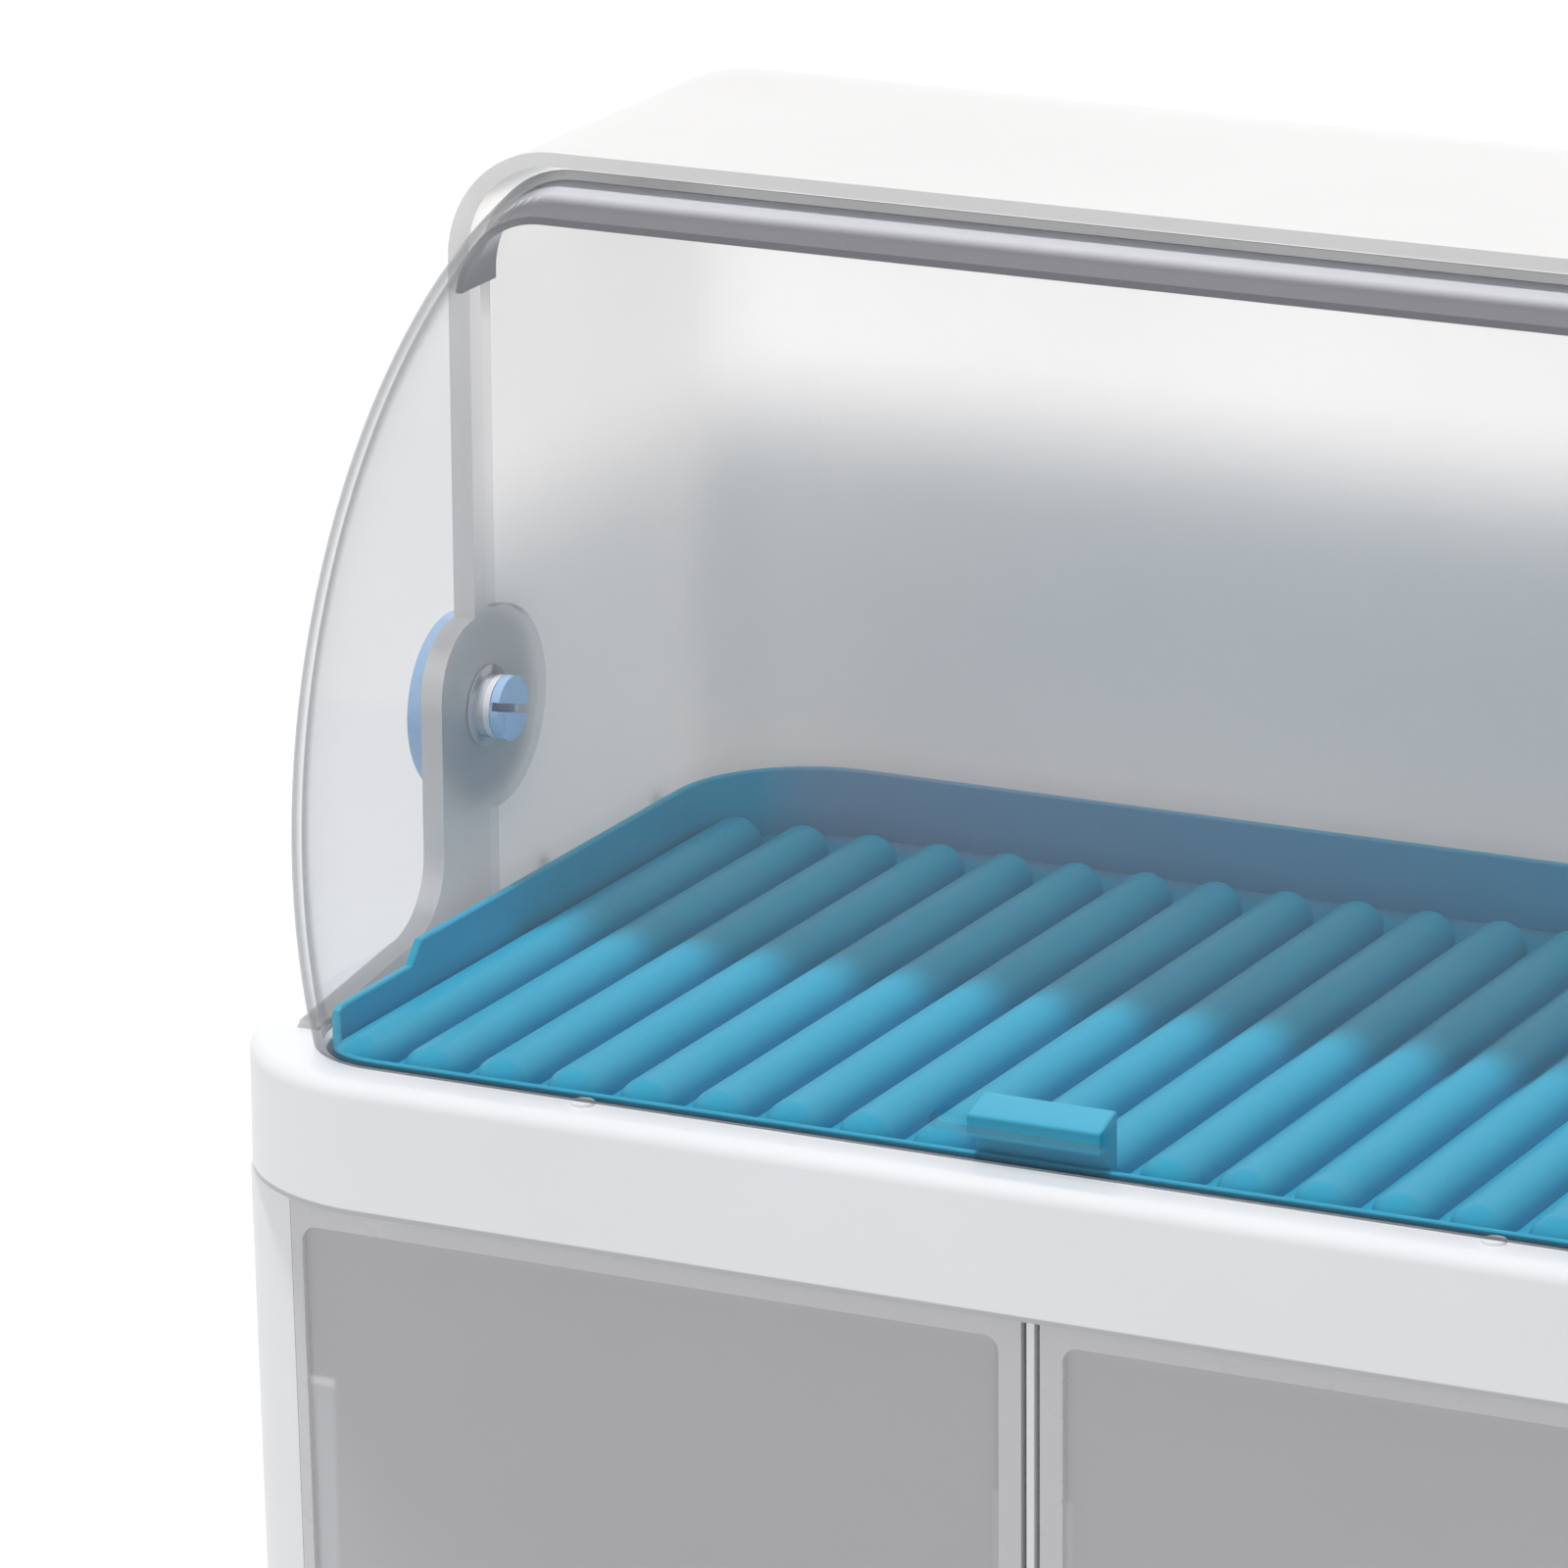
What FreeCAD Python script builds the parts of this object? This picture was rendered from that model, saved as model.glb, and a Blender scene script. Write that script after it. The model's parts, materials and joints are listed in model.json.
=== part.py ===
import FreeCAD, Part
import math
import os
import Sketcher

# Cutlery storage cabinet: a white cabinet with two drawers side by side, a top frame that
# carries a ribbed draining tray, a roof shell, and a clear cover that swings up and back
# under the roof about two snap pins.
# X is the width, Y runs from the front to the back, Z is up. The origin is the middle of
# the footprint, on the surface that the feet stand on. All lengths are millimetres.

SIZES = [
    ("FootHeight", 4, "height of the rubber feet"),
    ("FootRadius", 12, "radius of the rubber feet"),
    ("FootInsetX", 34, "foot centre from the cabinet's foot edge at the side"),
    ("FootInsetY", 30, "foot centre from the cabinet's front and back"),
    ("CabinetHeight", 180, "lower cabinet without its feet"),
    ("FrameHeight", 34, "height of the top frame's band"),
    ("FrameWidth", 456, "width of the top frame"),
    ("FrameDepth", 280, "depth of the top frame"),
    ("FrameCorner", 50, "plan radius of the frame's corners"),
    ("FrameWall", 3, "wall of the frame's band"),
    ("FrameEdge", 4, "rounding of the frame's top outer edge"),
    ("DeckDrop", 7, "depth of the tray's pocket below the frame's top"),
    ("DeckThickness", 3, "deck under the tray"),
    ("ChannelEnd", 8, "relief in the frame's front bar, from the frame's corners"),
    ("ChannelDepth", 6, "relief in the frame's front bar, front to back"),
    ("SideInset", 1, "cabinet side and back inside the frame's"),
    ("FrontRecess", 12, "cabinet front behind the frame's front"),
    ("SideLean", 3.2, "how far each cabinet side leans in at the bottom"),
    ("CabinetCorner", 30, "plan radius of the cabinet's front corners"),
    ("CabinetWall", 3, "cabinet wall and floor"),
    ("PostWidth", 23, "front corner post, from the cabinet's side to the drawer opening"),
    ("SillHeight", 5, "front sill under the drawers"),
    ("DividerThickness", 2, "centre divider"),
    ("FrontGap", 0.6, "gap beside and below a drawer front"),
    ("FrontTopGap", 2.6, "gap above a drawer front"),
    ("DividerGap", 1.5, "gap between a drawer front and the divider"),
    ("FrontLip", 1.5, "front lip of a drawer front frame"),
    ("BorderTop", 6.9, "border above the window"),
    ("BorderLow", 6, "border below the window"),
    ("BorderOuter", 3, "border beside the window at the post"),
    ("BorderInner", 6, "border beside the window at the divider"),
    ("WindowCorner", 4, "rounding of the window opening's corners"),
    ("WindowOverlap", 1.4, "window held behind the border"),
    ("WindowThickness", 2.5, "translucent window panel"),
    ("SeatGap", 0.15, "gap round a panel that sits in a seat"),
    ("BoxInset", 0.4, "drawer box side inside the front's narrowest outer edge"),
    ("BoxInnerInset", 4, "drawer box side from the front's edge at the divider"),
    ("BoxWall", 2.5, "drawer box wall and floor"),
    ("BoxHeight", 123, "height of the drawer box sides"),
    ("BoxBackHeight", 150, "height of the drawer box back"),
    ("BoxLength", 250, "length of the drawer box"),
    ("BoxCorner", 5, "plan radius of the drawer box's rear corners"),
    ("FlangeWidth", 8, "flange of the drawer box behind the window, outer side"),
    ("FlangeInner", 4, "flange of the drawer box behind the border, divider side"),
    ("FlangeLow", 6, "flange of the drawer box below the window"),
    ("RailSetback", 12, "front end of a drawer rail behind the cabinet's front"),
    ("RailHeight", 4.5, "base of a drawer rail"),
    ("RailWidth", 12, "width of a drawer rail"),
    ("RailLip", 2, "thickness of a rail's guiding lip"),
    ("RailLipHeight", 12, "height of a rail's guiding lip"),
    ("RailLength", 236, "length of a drawer rail"),
    ("SlideGap", 0.4, "running gap between drawer box and rail, and at the stop"),
    ("DrawerTravel", 190, "travel of a drawer"),
    ("StopRadius", 4, "radius of the drawer stop pin"),
    ("StopReach", 12, "how far the stop pin reaches into each drawer bay"),
    ("StopHeight", 144, "stop pin above the cabinet's underside"),
    ("PullWidth", 96, "width of a drawer pull"),
    ("PullHeight", 20, "height of a drawer pull"),
    ("PullReach", 13, "how far a pull stands out from the window"),
    ("PullWall", 2.4, "wall of a drawer pull"),
    ("PullCorner", 7, "rounding of a pull's upper corners"),
    ("PullEdge", 2, "rounding of a pull's front edges"),
    ("PullCentre", 70, "middle of a pull above the ground"),
    ("PullBoss", 3.6, "radius of a screw boss in the pull"),
    ("PullScrewX", 30, "pull screws from the middle of the pull"),
    ("PullScrewDrop", 5, "pull screws below the pull's top"),
    ("InsertHeight", 38, "height of the cutlery insert"),
    ("InsertWall", 1.8, "wall of the cutlery insert"),
    ("InsertGap", 1.5, "gap between insert and drawer box"),
    ("InsertLift", 0.2, "insert above the drawer box's floor"),
    ("InsertLanes", 3, "lanes across the cutlery insert"),
    ("InsertCorner", 6, "plan radius of the insert's lanes"),
    ("ShellInset", 15, "side walls of the roof shell inside the frame's sides"),
    ("ShellSide", 6, "side wall of the roof shell"),
    ("ShellRoof", 3.7, "roof and back wall of the roof shell"),
    ("ShellHeight", 209, "roof shell above the frame's top"),
    ("ShellRear", 52, "side view radius where roof and back wall meet"),
    ("ShellRound", 30, "rounding where roof and back meet the sides"),
    ("RoofSetback", 120.5, "front edge of the roof behind the frame's front"),
    ("PivotSetback", 125.5, "cover pivot behind the frame's front"),
    ("PivotRise", 61, "cover pivot above the frame's top"),
    ("BossReach", 18.5, "how far the side wall bulges forward from the roof's front edge"),
    ("BossRise", 66.5, "centre of the bulge's rounding above the frame's top"),
    ("FlareRise", 27, "where the side wall's foot begins to flare, above the frame"),
    ("FlareRadius", 19, "radius of that flare"),
    ("RidgeHeight", 1.5, "height of the side wall's foot ridge at its front end"),
    ("RidgeSetback", 36, "front end of the foot ridge behind the frame's front"),
    ("CoverSideGap", 1, "gap between a cheek of the clear cover and the side wall"),
    ("CoverWall", 2.5, "wall of the clear cover"),
    ("CoverRadius", 156.5, "outside radius of the cover's curve"),
    ("CoverSetback", 158, "centre of the cover's curve behind the frame's front"),
    ("CoverAxisRise", 51, "centre of the cover's curve above the frame's top"),
    ("CoverRound", 27, "rounding between the cover's curve and its cheeks"),
    ("CoverLap", 4.5, "cover's rear edge behind the roof's front edge"),
    ("CoverGap", 1, "gap between the cover's lower edge and the frame"),
    ("EarRadius", 26.5, "ear of a cheek round the pivot"),
    ("StripWidth", 19, "edge strip along the cover's top edge, front to back"),
    ("StripThickness", 1.8, "thickness of the edge strip"),
    ("StripFoot", 174, "where the edge strip's legs end above the frame's top"),
    ("LedgeWidth", 44, "finger ledge on the cover"),
    ("LedgeReach", 4, "how far the finger ledge stands out"),
    ("LedgeRise", 14, "top of the finger ledge above the frame's top"),
    ("LedgeHeight", 3, "thickness of the finger ledge"),
    ("HeadRadius", 23.3, "disc head of a pivot pin"),
    ("HeadThickness", 4.2, "thickness of the disc head"),
    ("PinRadius", 6.25, "shank of a pivot pin"),
    ("PinGap", 0.1, "running gap between pin and bush"),
    ("FitGap", 0.05, "gap of a piece pressed or glued into its seat"),
    ("BarbRadius", 8.4, "snap end of a pivot pin"),
    ("BarbReach", 4.5, "how far the pins reach inside the cover's cheeks"),
    ("BarbLength", 2.4, "length of the snap end"),
    ("SlitWidth", 2.4, "slit of the snap end"),
    ("SlitDepth", 7.5, "depth of that slit"),
    ("SlitFall", 2.3, "how far the slit's rear end is below the pin's axis"),
    ("BushSleeve", 8.2, "outside radius of the bush in the cheek"),
    ("BushCollar", 10.5, "radius of the bush's collar between cheek and side wall"),
    ("BushGap", 0.4, "end play of the bush"),
    ("TraySideGap", 3.5, "gap between the draining tray and a cheek of the cover"),
    ("TrayFrontInset", 16.2, "front of the draining tray behind the frame's front"),
    ("TrayBackInset", 24, "back of the draining tray ahead of the frame's back"),
    ("TrayLift", 0.3, "tray above the deck"),
    ("TrayFloor", 2.4, "thickness of the tray's floor"),
    ("TrayWall", 2.2, "thickness of the tray's walls"),
    ("TrayHeight", 21, "height of the tray's walls"),
    ("TrayLow", 15.5, "height of the side walls in front of the step"),
    ("TrayStep", 50.8, "foot of that step behind the tray's front"),
    ("TrayLip", 7.5, "height of the front lip"),
    ("TrayLipDepth", 10.3, "side walls' front end behind the tray's front"),
    ("TrayDrop", 3.5, "slope from the side walls to the front lip, front to back"),
    ("TrayEdge", 0.7, "rounding along the top of the tray's walls and lip"),
    ("TrayCorner", 38, "plan radius of the tray's rear corners"),
    ("TrayFrontCorner", 18, "plan radius of the tray's front corners"),
    ("RibCount", 20, "ribs of the tray"),
    ("RibPitch", 20, "distance between ribs"),
    ("RibRadius", 7.2, "radius of a rib"),
    ("RibHeight", 8, "height of a rib above the tray's floor"),
    ("RibEnd", 14, "flat margin behind the ribs"),
    ("GripWidth", 35, "lifting tab of the tray"),
    ("GripReach", 2.7, "how far the lifting tab stands out over the front lip"),
    ("GripDepth", 10, "lifting tab, front to back"),
    ("GripTop", 17.9, "front of the tab's top above the tray's underside"),
    ("GripRise", 3.2, "how far the tab's top rises towards its rear"),
    ("GripThickness", 5.4, "thickness of the lifting tab at its front"),
    ("GripPost", 4.5, "post under the lifting tab, front to back"),
    ("GripEdge", 0.8, "rounding of the lifting tab's upper edges"),
    ("PocketGap", 1.5, "gap between tray and deck pocket"),
    ("PocketEdge", 0.8, "rounding of the deck pocket's upper edge"),
    ("ColumnRadius", 6, "screw column"),
    ("ColumnInsetX", 12, "column centre from the cabinet's foot edge at the side"),
    ("ColumnInsetY", 36, "column centre from the cabinet's front and back"),
    ("ScrewRadius", 1.7, "shank of a screw"),
    ("ScrewHead", 3.2, "head of a screw"),
    ("ScrewHeadHeight", 2.4, "height of a screw head"),
    ("ScrewSlot", 0.8, "width and depth of a screw's slot"),
    ("ScrewGrip", 13, "cabinet plastic between screw head and frame"),
    ("ScrewReach", 11, "how far a screw goes into the piece it holds"),
    ("PullScrewReach", 8, "how far a pull screw goes into the pull"),
    ("ScrewTip", 1, "free depth of a hole past the screw's tip"),
    ("ScrewGap", 0.1, "gap round a screw"),
    ("ShellScrewFront", 35.5, "front pair of shell screws behind the roof's front edge"),
    ("ShellScrewRear", 56, "rear pair of shell screws ahead of the shell's back"),
    ("PadRadius", 3, "cover rest pad"),
    ("PadHeight", 0.8, "height of a cover rest pad"),
    ("PadInset", 80, "cover rest pads inside the tray's sides"),
]
VALUES = {alias: value for alias, value, meaning in SIZES}

TOLERANCE = 1e-3
PAST = 6.0
SIDES = ((-1, "left"), (1, "right"))

doc = FreeCAD.newDocument("CutleryCabinet")
sheet = doc.addObject("Spreadsheet::Sheet", "Sizes")
parts = {}


class Size:
    """A length that knows its value and the expression that gives it in the document."""

    def __init__(self, value, text):
        self.value = float(value)
        self.text = text

    def join(self, other, sign, value):
        return Size(value, "(%s %s %s)" % (self.text, sign, other.text))

    def __add__(self, other):
        other = size(other)
        return self.join(other, "+", self.value + other.value)

    def __sub__(self, other):
        other = size(other)
        return self.join(other, "-", self.value - other.value)

    def __mul__(self, other):
        other = size(other)
        return self.join(other, "*", self.value * other.value)

    def __rmul__(self, other):
        return size(other) * self

    def __truediv__(self, other):
        other = size(other)
        return self.join(other, "/", self.value / other.value)

    def __neg__(self):
        return Size(-self.value, "(0 - %s)" % self.text)


def size(source):
    """A Size from a name in the sheet, a number or a Size."""
    if isinstance(source, Size):
        return source
    if isinstance(source, str):
        return Size(VALUES[source], "Sizes." + source)
    return Size(source, "(%s)" % float(source))


def root(source):
    return Size(math.sqrt(source.value), "sqrt(%s)" % source.text)


def fill_sheet():
    for row, (alias, value, meaning) in enumerate(SIZES, start=1):
        sheet.set("A%d" % row, alias)
        sheet.set("B%d" % row, str(value))
        sheet.set("C%d" % row, meaning)
        sheet.setAlias("B%d" % row, alias)
    doc.recompute()


def bind(thing, name, source):
    """Tie a property to the sheet."""
    thing.setExpression(name, size(source).text)


def keep(label, made):
    """Name a finished piece, which also names its file."""
    made.Label = label
    parts[label] = made


def body(label, kept=True):
    """A body; one that isn't kept only shapes another piece."""
    made = doc.addObject("PartDesign::Body", label + "_body")
    if kept:
        keep(label, made)
    return made


def origin_feature(owner, role):
    return next(f for f in owner.Origin.OriginFeatures if f.Role == role)


def sketch(owner, plane, offset):
    """An empty sketch on one of the body's own planes, moved along the plane's normal."""
    made = owner.newObject("Sketcher::SketchObject", owner.Label + "_sketch")
    made.AttachmentSupport = [(origin_feature(owner, plane + "_Plane"), "")]
    made.MapMode = "FlatFace"
    bind(made, "AttachmentOffset.Base.z", offset)
    return made


def place(drawing, geometry, point, u, v):
    """Dimension a point of the sketch from the sketch's origin."""
    for axis, kind, source in ((-2, "DistanceX", size(u)), (-1, "DistanceY", size(v))):
        if abs(source.value) < TOLERANCE:
            drawing.addConstraint(Sketcher.Constraint("PointOnObject", geometry, point, axis))
        else:
            held = Sketcher.Constraint(kind, -1, 1, geometry, point, source.value)
            number = drawing.addConstraint(held)
            drawing.setExpression("Constraints[%d]" % number, source.text)


def arc_between(start, end, radius):
    """The arc from start to end; a positive radius turns left, a negative one turns right."""
    chord = end - start
    rise = math.sqrt(max(radius * radius - chord.Length ** 2 / 4, 0.0))
    left = FreeCAD.Vector(-chord.y, chord.x, 0).normalize()
    centre = (start + end) * 0.5 + left * math.copysign(rise, radius)
    ends = (start, end) if radius > 0 else (end, start)
    angles = [math.atan2(p.y - centre.y, p.x - centre.x) for p in ends]
    ring = Part.Circle(centre, FreeCAD.Vector(0, 0, 1), abs(radius))
    return Part.ArcOfCircle(ring, angles[0], angles[1])


def outline(drawing, corners):
    """A closed outline. A corner is (u, v), or (u, v, radius) where an arc follows it."""
    points = [FreeCAD.Vector(size(c[0]).value, size(c[1]).value, 0) for c in corners]
    ends = []
    for index, corner in enumerate(corners):
        start = points[index]
        end = points[(index + 1) % len(points)]
        if len(corner) == 3:
            radius = size(corner[2])
            number = drawing.addGeometry(arc_between(start, end, radius.value), False)
            length = radius if radius.value > 0 else -radius
            held = drawing.addConstraint(Sketcher.Constraint("Radius", number, length.value))
            drawing.setExpression("Constraints[%d]" % held, length.text)
            ends.append((number, 1, 2) if radius.value > 0 else (number, 2, 1))
        else:
            number = drawing.addGeometry(Part.LineSegment(start, end), False)
            ends.append((number, 1, 2))
    for index, (number, first, last) in enumerate(ends):
        following, entry, leaving = ends[(index + 1) % len(ends)]
        drawing.addConstraint(Sketcher.Constraint("Coincident", number, last, following, entry))
        place(drawing, number, first, corners[index][0], corners[index][1])


def circle(drawing, u, v, radius):
    radius = size(radius)
    centre = FreeCAD.Vector(size(u).value, size(v).value, 0)
    ring = Part.Circle(centre, FreeCAD.Vector(0, 0, 1), radius.value)
    number = drawing.addGeometry(ring, False)
    held = drawing.addConstraint(Sketcher.Constraint("Radius", number, radius.value))
    drawing.setExpression("Constraints[%d]" % held, radius.text)
    place(drawing, number, 3, u, v)


def prism(owner, plane, low, high, draw, cut=False):
    """Pad or pocket between two places along the plane's axis, drawn by draw(sketch)."""
    low, high = size(low), size(high)
    drawing = sketch(owner, plane, -high if plane == "XZ" else low)
    draw(drawing)
    before = owner.Shape.Volume if cut else 0.0
    kind = "Pocket" if cut else "Pad"
    feature = owner.newObject("PartDesign::" + kind, owner.Label + "_" + kind.lower())
    feature.Profile = drawing
    feature.Reversed = cut
    bind(feature, "Length", high - low)
    doc.recompute()
    if cut and owner.Shape.Volume > before - TOLERANCE:
        raise RuntimeError("a pocket in %s cuts nothing" % owner.Label)
    return feature


def fillet(owner, radius, chosen):
    """Round the edges of the body's tip that chosen(edge) picks."""
    base = owner.Tip
    names = ["Edge%d" % n for n, e in enumerate(base.Shape.Edges, start=1) if chosen(e)]
    if not names:
        raise RuntimeError("no edge to round in " + owner.Label)
    feature = owner.newObject("PartDesign::Fillet", owner.Label + "_fillet")
    feature.Base = (base, names)
    bind(feature, "Radius", radius)
    doc.recompute()


def hollow_out(owner, wall, chosen):
    """Leave a wall inside the body's tip, open at the faces that chosen(face) picks."""
    base = owner.Tip
    names = ["Face%d" % n for n, f in enumerate(base.Shape.Faces, start=1) if chosen(f)]
    feature = owner.newObject("PartDesign::Thickness", owner.Label + "_hollow")
    feature.Base = (base, names)
    feature.Reversed = True
    bind(feature, "Value", wall)
    doc.recompute()


def near(value, target):
    return abs(value - size(target).value) < TOLERANCE


def flat_at(axis, target):
    """Picks edges or faces that lie wholly at one place along an axis."""
    def chosen(element):
        low = getattr(element.BoundBox, axis + "Min")
        high = getattr(element.BoundBox, axis + "Max")
        return near(low, target) and near(high, target)
    return chosen


def upright_at(y):
    """Picks edges that run up, straight or with a slight lean, at a front to back place."""
    def chosen(edge):
        box = edge.BoundBox
        return box.ZLength > 5 * max(box.XLength, box.YLength) and near(box.YMin, y)
    return chosen


def rectangle(u0, v0, u1, v1):
    return lambda drawing: outline(drawing, [(u0, v0), (u1, v0), (u1, v1), (u0, v1)])


def rounded(u0, v0, u1, v1, front, rear):
    """Rectangle with rounded corners, one radius at its low v and one at its high v."""
    return lambda drawing: outline(drawing, [
        (u0 + front, v0), (u1 - front, v0, front), (u1, v0 + front), (u1, v1 - rear, rear),
        (u1 - rear, v1), (u0 + rear, v1, rear), (u0, v1 - rear), (u0, v0 + front, front)])


def arch(u0, v0, u1, v1, corner):
    """Rectangle with its two upper corners rounded."""
    return lambda drawing: outline(drawing, [
        (u0, v0), (u1, v0), (u1, v1 - corner, corner), (u1 - corner, v1),
        (u0 + corner, v1, corner), (u0, v1 - corner)])


def cylinder(label, radius, length, x, y, z, axis="Z"):
    """A cylinder from a point along an axis."""
    made = doc.addObject("Part::Cylinder", label)
    bind(made, "Radius", radius)
    bind(made, "Height", length)
    if axis == "X":
        made.Placement.Rotation = FreeCAD.Rotation(FreeCAD.Vector(0, 1, 0), 90)
    if axis == "Y":
        made.Placement.Rotation = FreeCAD.Rotation(FreeCAD.Vector(1, 0, 0), -90)
    for letter, source in zip("xyz", (x, y, z)):
        bind(made, "Placement.Base." + letter, source)
    return made


def box(label, low, high):
    made = doc.addObject("Part::Box", label)
    for name, letter, first, last in zip(("Length", "Width", "Height"), "xyz", low, high):
        bind(made, name, size(last) - first)
        bind(made, "Placement.Base." + letter, first)
    return made


def fuse(label, pieces):
    made = doc.addObject("Part::MultiFuse", label + "_fuse")
    made.Shapes = pieces
    return made


def cut(label, base, tool):
    made = doc.addObject("Part::Cut", label + "_cut")
    made.Base = base
    made.Tool = tool
    return made


def common(label, first, second):
    made = doc.addObject("Part::MultiCommon", label + "_common")
    made.Shapes = [first, second]
    return made


def group(label, pieces):
    """Several like solids kept in one node."""
    made = doc.addObject("Part::Compound", label + "_group")
    made.Links = pieces
    keep(label, made)


fill_sheet()

# Places that several pieces share

frame_half = size("FrameWidth") / 2
frame_back = size("FrameDepth") / 2
frame_front = -frame_back
floor_under = size("FootHeight")
cabinet_top = floor_under + "CabinetHeight"
frame_top = cabinet_top + "FrameHeight"
deck_top = frame_top - "DeckDrop"
deck_under = deck_top - "DeckThickness"

cabinet_half = frame_half - "SideInset"
cabinet_front = frame_front + "FrontRecess"
cabinet_back = frame_back - "SideInset"
cabinet_floor = floor_under + "CabinetWall"
cabinet_rear_corner = size("FrameCorner") - "SideInset"
bay_front = cabinet_front + "CabinetWall"
bay_back = cabinet_back - "CabinetWall"
bay_front_corner = size("CabinetCorner") - "CabinetWall"
bay_rear_corner = cabinet_rear_corner - "CabinetWall"
foot_half = cabinet_half - "SideLean"
opening_half = cabinet_half - "PostWidth"
opening_low = floor_under + "SillHeight"
divider_half = size("DividerThickness") / 2

column_x = foot_half - "ColumnInsetX"
column_places = (cabinet_front + "ColumnInsetY", cabinet_back - "ColumnInsetY")
shell_half = frame_half - "ShellInset"
shell_inner = shell_half - "ShellSide"
shell_top = frame_top + "ShellHeight"
shell_back = frame_back - "FrameEdge"
roof_front = frame_front + "RoofSetback"
shell_screw_x = shell_half - size("ShellSide") / 2
shell_screw_places = (roof_front + "ShellScrewFront", shell_back - "ShellScrewRear")
screw_hole = size("ScrewRadius") + "ScrewGap"

pivot_y = frame_front + "PivotSetback"
pivot_z = frame_top + "PivotRise"
cover_y = frame_front + "CoverSetback"
cover_z = frame_top + "CoverAxisRise"
cover_half = shell_inner - "CoverSideGap"
cover_inner = cover_half - "CoverWall"
cover_low = frame_top + "CoverGap"
cover_rear = roof_front + "CoverLap"

tray_half = cover_inner - "TraySideGap"
tray_front = frame_front + "TrayFrontInset"
tray_back = frame_back - "TrayBackInset"
tray_low = deck_top + "TrayLift"
tray_floor = tray_low + "TrayFloor"

front_low = opening_low + "FrontGap"
front_top = cabinet_top - "FrontTopGap"
front_inner = divider_half + "DividerGap"
window_front = cabinet_front + "FrontLip"
window_back = window_front + "WindowThickness"
box_low = cabinet_floor + "RailHeight" + "SlideGap"
box_back = window_back + "BoxLength"
box_inner = front_inner + "BoxInnerInset"
stop_y = box_back - "BoxWall" - "DrawerTravel" - "SlideGap" - "StopRadius"
stop_z = floor_under + "StopHeight"
drawer_middle = (opening_half + divider_half) / 2
pull_front = window_front - "PullReach"
pull_top = size("PullCentre") + size("PullHeight") / 2
pull_low = size("PullCentre") - size("PullHeight") / 2
pull_screw_z = pull_top - "PullScrewDrop"


def lean(at_top, height):
    """Half width at a height of an edge that leans in like the cabinet's side."""
    return at_top - (cabinet_top - height) * "SideLean" / "CabinetHeight"


box_outer = lean(opening_half, front_low) - "FrontGap" - "BoxInset"


def curve_y(radius, height):
    """Front to back place of the cover's curve of that radius at that height."""
    rise = height - cover_z
    return cover_y - root(radius * radius - rise * rise)


def curve_z(radius, depth):
    """Height of the cover's curve of that radius at that front to back place."""
    run = depth - cover_y
    return cover_z + root(radius * radius - run * run)


def on_both_sides(x):
    return (-x, x)


def make_feet():
    for side, side_name in SIDES:
        for end_name, y in (("front", cabinet_front + "FootInsetY"),
                            ("rear", cabinet_back - "FootInsetY")):
            label = "foot_%s_%s" % (end_name, side_name)
            x = side * (foot_half - "FootInsetX")
            keep(label, cylinder(label, "FootRadius", "FootHeight", x, y, 0.0))


def make_lower_cabinet():
    made = body("lower_cabinet")
    outside = [(-foot_half, floor_under), (foot_half, floor_under),
               (cabinet_half, cabinet_top), (-cabinet_half, cabinet_top)]
    prism(made, "XZ", cabinet_front, cabinet_back, lambda s: outline(s, outside))
    fillet(made, "CabinetCorner", upright_at(cabinet_front))
    fillet(made, cabinet_rear_corner, upright_at(cabinet_back))

    hollow_out(made, "CabinetWall", flat_at("Z", cabinet_top))

    doorway_low = lean(opening_half, opening_low)
    doorway = [(-doorway_low, opening_low), (doorway_low, opening_low),
               (opening_half, cabinet_top), (-opening_half, cabinet_top)]
    prism(made, "XZ", cabinet_front, cabinet_front + "RailSetback",
          lambda s: outline(s, doorway), cut=True)

    head_top = cabinet_top - "ScrewGrip"
    head_hole = size("ScrewHead") + "ScrewGap"
    for x in on_both_sides(column_x):
        for y in column_places:
            prism(made, "XY", floor_under, cabinet_top,
                  lambda s: circle(s, x, y, "ColumnRadius"))
            prism(made, "XY", floor_under, head_top,
                  lambda s: circle(s, x, y, head_hole), cut=True)
            prism(made, "XY", head_top, cabinet_top,
                  lambda s: circle(s, x, y, screw_hole), cut=True)


def make_centre_divider():
    plate = box("divider_plate", (-divider_half, cabinet_front, cabinet_floor),
                (divider_half, bay_back, cabinet_top))
    notch = box("divider_notch", (-divider_half, cabinet_front, cabinet_floor),
                (divider_half, bay_front, opening_low))
    hole = cylinder("divider_hole", size("StopRadius") + "FitGap", "DividerThickness",
                    -divider_half, stop_y, stop_z, axis="X")
    keep("centre_divider", cut("divider", plate, fuse("divider_tools", [notch, hole])))


def make_drawer_stop_pin():
    reach = divider_half + "StopReach"
    keep("drawer_stop_pin", cylinder("stop_rod", "StopRadius", reach * 2, -reach,
                                     stop_y, stop_z, axis="X"))


def pocket_edge(edge):
    """Picks the upper edge of the pocket in which the tray lies."""
    span = edge.BoundBox
    within = max(-span.XMin, span.XMax) < cover_half.value
    return within and flat_at("Z", frame_top)(edge)


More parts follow.
